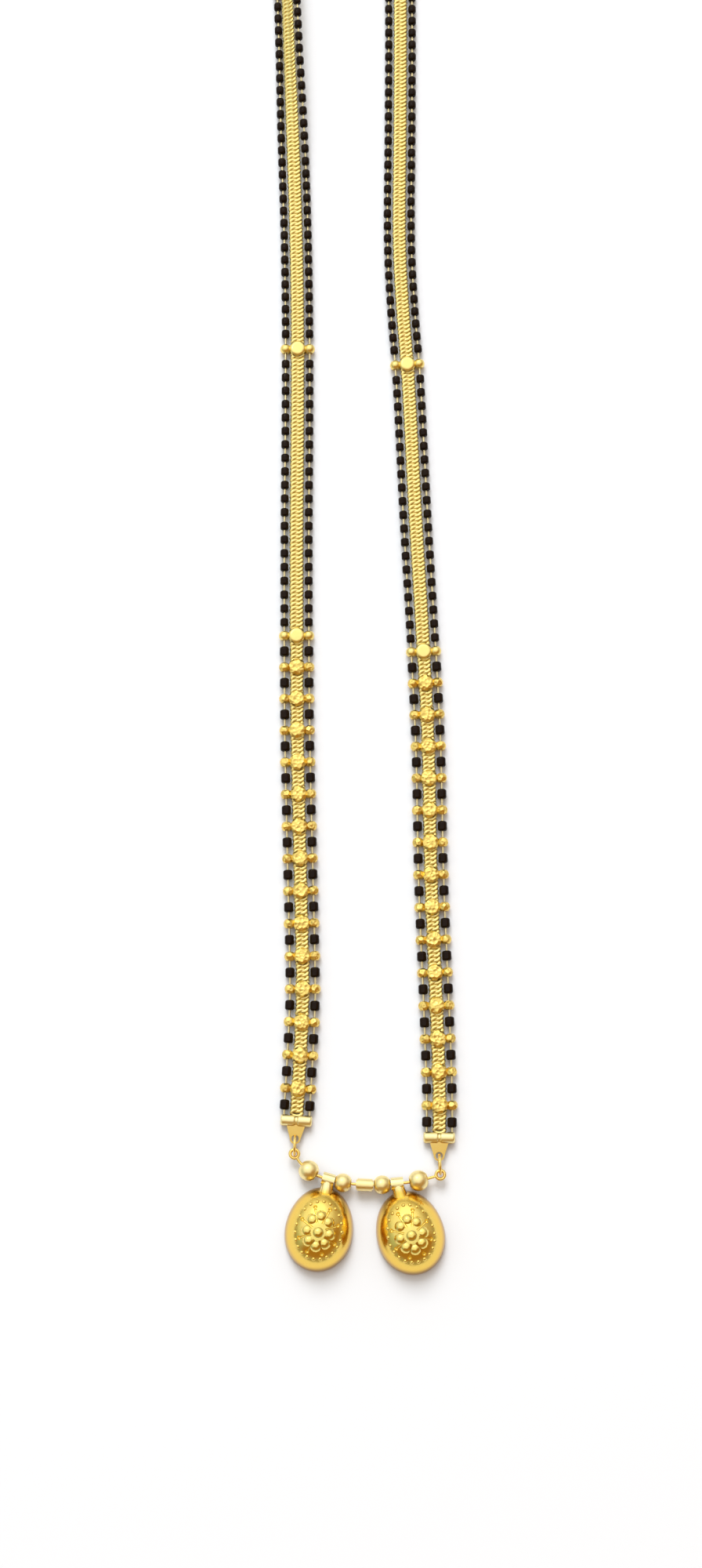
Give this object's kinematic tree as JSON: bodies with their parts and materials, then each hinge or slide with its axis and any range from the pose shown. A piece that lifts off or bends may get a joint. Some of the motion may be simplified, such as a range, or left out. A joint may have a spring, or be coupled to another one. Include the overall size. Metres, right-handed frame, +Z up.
{
  "type": "mangalsutra",
  "caption": "Long mangalsutra necklace: bead straps with a gold chain between black bead strings, joined in front by a wire with gold balls and a pair of hollow gold vatis.",
  "frame": {"origin": "middle of the box that the necklace fills, on the surface that it lies on", "axes": "+Z up from the surface, +Y from the vatis up the straps towards the hook, +X to the right when the vatis are nearest"},
  "size_m": [0.0476, 0.3816, 0.0088],
  "materials": {
    "gold": "polished",
    "pale_gold": "satin",
    "black_beads": "gloss"
  },
  "bodies": {
    "root": {"left_vati": "gold", "right_vati": "gold", "row_wire": "gold", "ball_1": "gold", "ball_2": "gold", "ball_3": "gold", "ball_4": "gold", "barrel": "gold", "left_ring": "gold", "right_ring": "gold", "left_end_bar": "gold", "right_end_bar": "gold", "left_ball_bars": "gold", "right_ball_bars": "gold", "left_low_spacer": "gold", "right_low_spacer": "gold", "left_high_spacer": "gold", "right_high_spacer": "gold", "left_chain": "pale_gold", "right_chain": "pale_gold", "left_outer_lower_beads": "black_beads", "left_inner_lower_beads": "black_beads", "right_outer_lower_beads": "black_beads", "right_inner_lower_beads": "black_beads", "left_outer_middle_beads": "black_beads", "left_inner_middle_beads": "black_beads", "right_outer_middle_beads": "black_beads", "right_inner_middle_beads": "black_beads", "left_outer_upper_string": "black_beads", "left_inner_upper_string": "black_beads", "right_outer_upper_string": "black_beads", "right_inner_upper_string": "black_beads", "left_outer_thread": "gold", "left_inner_thread": "gold", "right_outer_thread": "gold", "right_inner_thread": "gold", "left_back_bar": "gold", "right_back_bar": "gold", "left_back_ring": "gold", "right_back_ring": "gold", "hook": "gold"}
  },
  "joints": []
}
